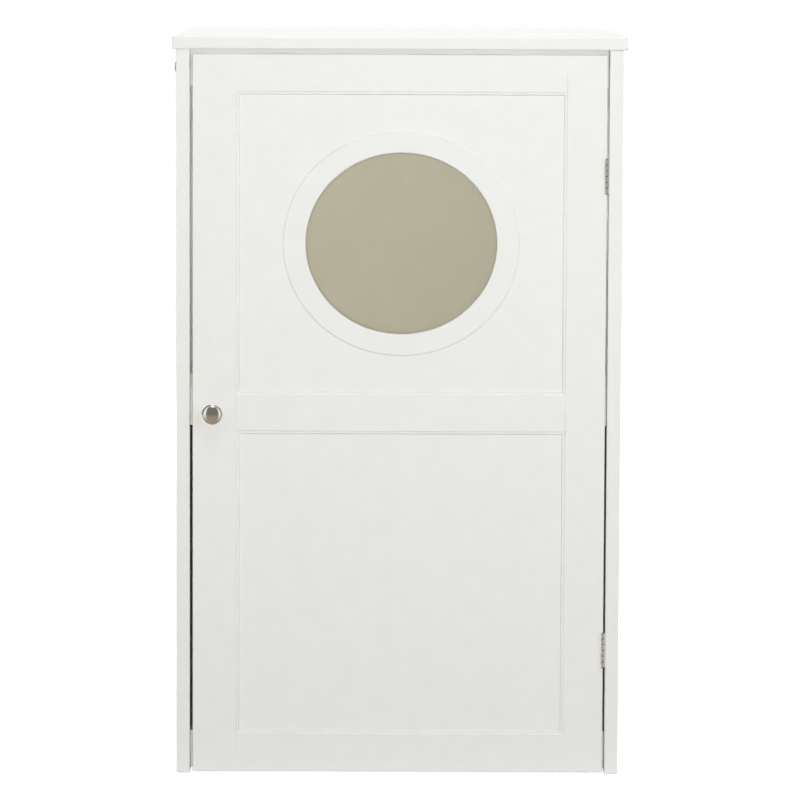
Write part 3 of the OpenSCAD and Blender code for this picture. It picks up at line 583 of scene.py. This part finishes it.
profile = [(0, 0), (foot_r, 0), (KNOB_FOOT_R, KNOB_FOOT_EASE),
           (KNOB_FOOT_R, KNOB_FOOT_T - KNOB_FOOT_LIP)]
profile += [(foot_r - (foot_r - KNOB_NECK_R) * math.sin(a),
             throat - (throat - KNOB_FOOT_T) * math.cos(a))
            for a in arc(0, 90, KNOB_ARC_STEPS)]
profile += [(KNOB_NECK_R + (head_r - KNOB_RIM_R - KNOB_NECK_R) * (1 - math.cos(a)),
             throat + (under - throat) * math.sin(a))
            for a in arc(0, 90, KNOB_ARC_STEPS)[1:]]
profile += [(head_r - KNOB_RIM_R + KNOB_RIM_R * math.cos(a),
             under + KNOB_RIM_R + KNOB_RIM_R * math.sin(a))
            for a in arc(*KNOB_RIM_ARC, KNOB_ARC_STEPS)]
profile += [(ball_r * math.sin(a), knob_out - ball_r * (1 - math.cos(a)))
            for a in arc(dome_reach * KNOB_DOME_SHARE, 0, KNOB_ARC_STEPS)]
mesh = spun([(radius * MM, out * MM) for radius, out in profile], KNOB_STEPS)
bmesh.ops.remove_doubles(mesh, verts=mesh.verts, dist=SAME_POINT)
to_door = Matrix.Translation((knob_middle.x, knob_high.y, knob_middle.z))
upright = Matrix.Rotation(math.pi / 2, 4, "X")
bmesh.ops.transform(mesh, matrix=to_door @ upright, verts=mesh.verts)
bmesh.ops.recalc_face_normals(mesh, faces=mesh.faces)
for face in mesh.faces:
    face.smooth = True
satin_nickel = metal("satin nickel on cast zinc", "F0EDE4", "E8E4DA", roughness=0.09,
                     grain_mm=0.5, grain_depth_mm=0.0008)
keep_piece(mesh, "turned_knob", "door", satin_nickel, ["knob"])

# Hinges. Pressed steel butt hinges with six knuckles and a plain pin, nickel plated and then a
# little dull. The pins are given a darker tone as painted shade, so that the gaps between the
# knuckles look dark. Each leaf is screwed to its board with two countersunk screws. The faint grain
# runs up the leaves, coarser than real so that it shows.
DRAWN_UPWARDS = (1, 1, 0.3)
KNUCKLE_EASE_MM = 0.4
PIN_EASE_MM = 0.2
PIN_CLEARANCE = 0.1 * MM
nickel_plate = metal("dull nickel plate on steel", "F4F2EC", "E8E5DE", roughness=0.5,
                     grain_mm=1.5, grain_depth_mm=0.001, stretch=DRAWN_UPWARDS)
# Painted shade: the pins' nickel is darker than the leaves' so that the gaps between the knuckles
# look dark
pin_nickel_painted_dark = metal("nickel plate painted dark as knuckle shade", "8B867E", "77726B", roughness=0.5,
                         grain_mm=1.5, grain_depth_mm=0.001, stretch=DRAWN_UPWARDS)
pin_low, pin_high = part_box("upper_hinge_pin")
hinge_axis = (pin_low + pin_high) / 2
pin_r = pin_high.y - hinge_axis.y


def ends_knuckle(edge):
    """True for the round end edge of a knuckle on the axis that both hinges share."""
    first, second = edge.verts
    from_axis = (first.co - hinge_axis).xy.length
    round_it = abs((second.co - hinge_axis).xy.length - from_axis) < CLOSE_BY
    level = abs(second.co.z - first.co.z) < CLOSE_BY
    return round_it and level and from_axis > pin_r + PIN_CLEARANCE


for place in ("upper", "lower"):
    for leaf, body in (("case_leaf", "cabinet"), ("door_leaf", "door")):
        eased_copy(place + "_hinge_" + leaf, body, nickel_plate, KNUCKLE_EASE_MM,
                   worn=ends_knuckle)
    # The pins wear the darker nickel, which is painted shade for the knuckle gaps
    eased_copy(place + "_hinge_pin", "cabinet", pin_nickel_painted_dark, PIN_EASE_MM)
for node in ("hinge_case_screws", "hinge_door_screws"):
    dress(node, nickel_plate)
